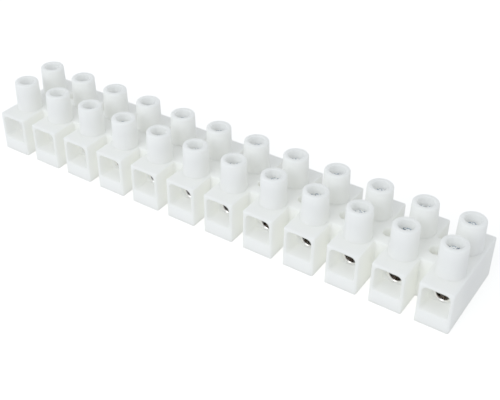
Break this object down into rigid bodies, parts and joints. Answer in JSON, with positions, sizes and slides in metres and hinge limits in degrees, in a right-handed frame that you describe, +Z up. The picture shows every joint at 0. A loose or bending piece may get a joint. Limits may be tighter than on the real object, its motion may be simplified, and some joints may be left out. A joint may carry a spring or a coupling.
{
  "type": "terminal strip",
  "caption": "Row of screw terminals in one white moulded housing: wire mouths along both long sides, a tower over each screw, fixing holes between the poles.",
  "frame": {"origin": "centre of the underside", "axes": "+X along the row of poles, +Y towards the rear wire face, +Z up along the screws"},
  "size_m": [0.1172, 0.0214, 0.0168],
  "materials": {
    "housing_plastic": "satin",
    "barrel_metal": "nickel plated",
    "screw_steel": "zinc plated"
  },
  "bodies": {
    "strip": {"housing": "housing_plastic", "barrel_01": "barrel_metal", "barrel_02": "barrel_metal", "barrel_03": "barrel_metal", "barrel_04": "barrel_metal", "barrel_05": "barrel_metal", "barrel_06": "barrel_metal", "barrel_07": "barrel_metal", "barrel_08": "barrel_metal", "barrel_09": "barrel_metal", "barrel_10": "barrel_metal", "barrel_11": "barrel_metal", "barrel_12": "barrel_metal"},
    "screw_front_01": {"screw_front_01": "screw_steel"},
    "screw_front_02": {"screw_front_02": "screw_steel"},
    "screw_front_03": {"screw_front_03": "screw_steel"},
    "screw_front_04": {"screw_front_04": "screw_steel"},
    "screw_front_05": {"screw_front_05": "screw_steel"},
    "screw_front_06": {"screw_front_06": "screw_steel"},
    "screw_front_07": {"screw_front_07": "screw_steel"},
    "screw_front_08": {"screw_front_08": "screw_steel"},
    "screw_front_09": {"screw_front_09": "screw_steel"},
    "screw_front_10": {"screw_front_10": "screw_steel"},
    "screw_front_11": {"screw_front_11": "screw_steel"},
    "screw_front_12": {"screw_front_12": "screw_steel"},
    "screw_rear_01": {"screw_rear_01": "screw_steel"},
    "screw_rear_02": {"screw_rear_02": "screw_steel"},
    "screw_rear_03": {"screw_rear_03": "screw_steel"},
    "screw_rear_04": {"screw_rear_04": "screw_steel"},
    "screw_rear_05": {"screw_rear_05": "screw_steel"},
    "screw_rear_06": {"screw_rear_06": "screw_steel"},
    "screw_rear_07": {"screw_rear_07": "screw_steel"},
    "screw_rear_08": {"screw_rear_08": "screw_steel"},
    "screw_rear_09": {"screw_rear_09": "screw_steel"},
    "screw_rear_10": {"screw_rear_10": "screw_steel"},
    "screw_rear_11": {"screw_rear_11": "screw_steel"},
    "screw_rear_12": {"screw_rear_12": "screw_steel"}
  },
  "joints": [
    {"name": "screw_front_01_travel", "type": "slide", "parent": "strip", "child": "screw_front_01", "axis": [0, 0, 1], "range_m": [-0.0019, 0.0006]},
    {"name": "screw_front_02_travel", "type": "slide", "parent": "strip", "child": "screw_front_02", "axis": [0, 0, 1], "range_m": [-0.0019, 0.0006]},
    {"name": "screw_front_03_travel", "type": "slide", "parent": "strip", "child": "screw_front_03", "axis": [0, 0, 1], "range_m": [-0.0019, 0.0006]},
    {"name": "screw_front_04_travel", "type": "slide", "parent": "strip", "child": "screw_front_04", "axis": [0, 0, 1], "range_m": [-0.0019, 0.0006]},
    {"name": "screw_front_05_travel", "type": "slide", "parent": "strip", "child": "screw_front_05", "axis": [0, 0, 1], "range_m": [-0.0019, 0.0006]},
    {"name": "screw_front_06_travel", "type": "slide", "parent": "strip", "child": "screw_front_06", "axis": [0, 0, 1], "range_m": [-0.0019, 0.0006]},
    {"name": "screw_front_07_travel", "type": "slide", "parent": "strip", "child": "screw_front_07", "axis": [0, 0, 1], "range_m": [-0.0019, 0.0006]},
    {"name": "screw_front_08_travel", "type": "slide", "parent": "strip", "child": "screw_front_08", "axis": [0, 0, 1], "range_m": [-0.0019, 0.0006]},
    {"name": "screw_front_09_travel", "type": "slide", "parent": "strip", "child": "screw_front_09", "axis": [0, 0, 1], "range_m": [-0.0019, 0.0006]},
    {"name": "screw_front_10_travel", "type": "slide", "parent": "strip", "child": "screw_front_10", "axis": [0, 0, 1], "range_m": [-0.0019, 0.0006]},
    {"name": "screw_front_11_travel", "type": "slide", "parent": "strip", "child": "screw_front_11", "axis": [0, 0, 1], "range_m": [-0.0019, 0.0006]},
    {"name": "screw_front_12_travel", "type": "slide", "parent": "strip", "child": "screw_front_12", "axis": [0, 0, 1], "range_m": [-0.0019, 0.0006]},
    {"name": "screw_rear_01_travel", "type": "slide", "parent": "strip", "child": "screw_rear_01", "axis": [0, 0, 1], "range_m": [-0.0019, 0.0006]},
    {"name": "screw_rear_02_travel", "type": "slide", "parent": "strip", "child": "screw_rear_02", "axis": [0, 0, 1], "range_m": [-0.0019, 0.0006]},
    {"name": "screw_rear_03_travel", "type": "slide", "parent": "strip", "child": "screw_rear_03", "axis": [0, 0, 1], "range_m": [-0.0019, 0.0006]},
    {"name": "screw_rear_04_travel", "type": "slide", "parent": "strip", "child": "screw_rear_04", "axis": [0, 0, 1], "range_m": [-0.0019, 0.0006]},
    {"name": "screw_rear_05_travel", "type": "slide", "parent": "strip", "child": "screw_rear_05", "axis": [0, 0, 1], "range_m": [-0.0019, 0.0006]},
    {"name": "screw_rear_06_travel", "type": "slide", "parent": "strip", "child": "screw_rear_06", "axis": [0, 0, 1], "range_m": [-0.0019, 0.0006]},
    {"name": "screw_rear_07_travel", "type": "slide", "parent": "strip", "child": "screw_rear_07", "axis": [0, 0, 1], "range_m": [-0.0019, 0.0006]},
    {"name": "screw_rear_08_travel", "type": "slide", "parent": "strip", "child": "screw_rear_08", "axis": [0, 0, 1], "range_m": [-0.0019, 0.0006]},
    {"name": "screw_rear_09_travel", "type": "slide", "parent": "strip", "child": "screw_rear_09", "axis": [0, 0, 1], "range_m": [-0.0019, 0.0006]},
    {"name": "screw_rear_10_travel", "type": "slide", "parent": "strip", "child": "screw_rear_10", "axis": [0, 0, 1], "range_m": [-0.0019, 0.0006]},
    {"name": "screw_rear_11_travel", "type": "slide", "parent": "strip", "child": "screw_rear_11", "axis": [0, 0, 1], "range_m": [-0.0019, 0.0006]},
    {"name": "screw_rear_12_travel", "type": "slide", "parent": "strip", "child": "screw_rear_12", "axis": [0, 0, 1], "range_m": [-0.0019, 0.0006]}
  ]
}
